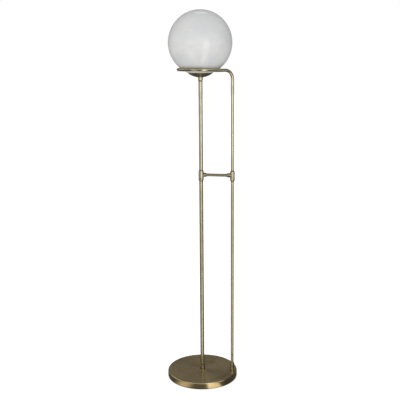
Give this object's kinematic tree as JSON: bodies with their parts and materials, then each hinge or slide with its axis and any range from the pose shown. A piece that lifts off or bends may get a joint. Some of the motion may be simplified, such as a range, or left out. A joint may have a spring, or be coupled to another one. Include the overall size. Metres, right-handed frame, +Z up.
{
  "type": "globe floor lamp",
  "caption": "Floor lamp: opal glass globe in a shallow dish on a slim stem, ringed by a second rod that bends over beside it; round weighted base.",
  "frame": {"origin": "on the floor, under the middle of the base and the stem", "axes": "+Z up along the stem; +X from the stem to the rod; -Y is the front, +Y the back, where the cord comes in"},
  "size_m": [0.29, 0.2912, 1.5],
  "materials": {
    "antique_brass": "antique brass, lacquered, softly polished",
    "brushed_brass": "antique brass, circular brushed top and turned rim",
    "plain_brass": "turned, bare",
    "cast_iron": "rough cast, blacked",
    "felt": "pressed felt",
    "black_rubber": "moulded, matt",
    "zinc_steel": "zinc plated, rolled thread",
    "dark_steel": "blacked socket screw",
    "spring_steel": "sprung strip",
    "silicone": "moulded, translucent white",
    "holder_plastic": "moulded, white",
    "porcelain": "glazed",
    "lead_sheath": "extruded sheath",
    "opal_glass": "opal, satin outside",
    "bulb_glass": "frosted",
    "bulb_cap_metal": "rolled thread",
    "bulb_insulator": "black glass",
    "solder": "dull"
  },
  "bodies": {
    "stand": {"base_cover": "brushed_brass", "base_weight": "cast_iron", "base_pad": "felt", "cord_grommet": "black_rubber", "stem_foot_collar": "antique_brass", "stem_foot_nipple": "zinc_steel", "stem_foot_washer": "zinc_steel", "stem_foot_nut": "zinc_steel", "rod_foot_ferrule": "antique_brass", "rod_foot_screw": "zinc_steel", "rod_foot_washer": "zinc_steel", "stem_lower_tube": "antique_brass", "stem_upper_tube": "antique_brass", "stem_end_bushes": "plain_brass", "stem_joint_nipple": "zinc_steel", "stem_tee": "antique_brass", "cross_bar": "antique_brass", "rod_tee": "antique_brass", "tee_grub_screws": "dark_steel", "rod_lower_tube": "antique_brass", "rod_end_plugs": "plain_brass", "rod_joint_stud": "zinc_steel", "ring_rod": "antique_brass", "dish_collar": "antique_brass", "dish_nipple": "zinc_steel", "gallery_dish": "antique_brass", "globe_seat": "silicone", "globe_clips": "spring_steel", "dish_washer": "zinc_steel", "dish_nut": "zinc_steel", "holder_cap": "holder_plastic", "holder_core": "porcelain", "holder_shell": "plain_brass", "holder_contact": "plain_brass", "holder_screws": "zinc_steel", "holder_skirt": "holder_plastic", "inner_lead": "lead_sheath"},
    "globe": {"glass_globe": "opal_glass"},
    "bulb": {"bulb_glass": "bulb_glass", "bulb_cap": "bulb_cap_metal", "bulb_insulator": "bulb_insulator", "bulb_tip": "solder"}
  },
  "joints": [
    {"name": "globe_lift", "type": "slide", "parent": "stand", "child": "globe", "axis": [0, 0, 1], "range_m": [0, 0.16]},
    {"name": "bulb_draw", "type": "slide", "parent": "stand", "child": "bulb", "axis": [0, 0, 1], "range_m": [0, 0.034]}
  ]
}
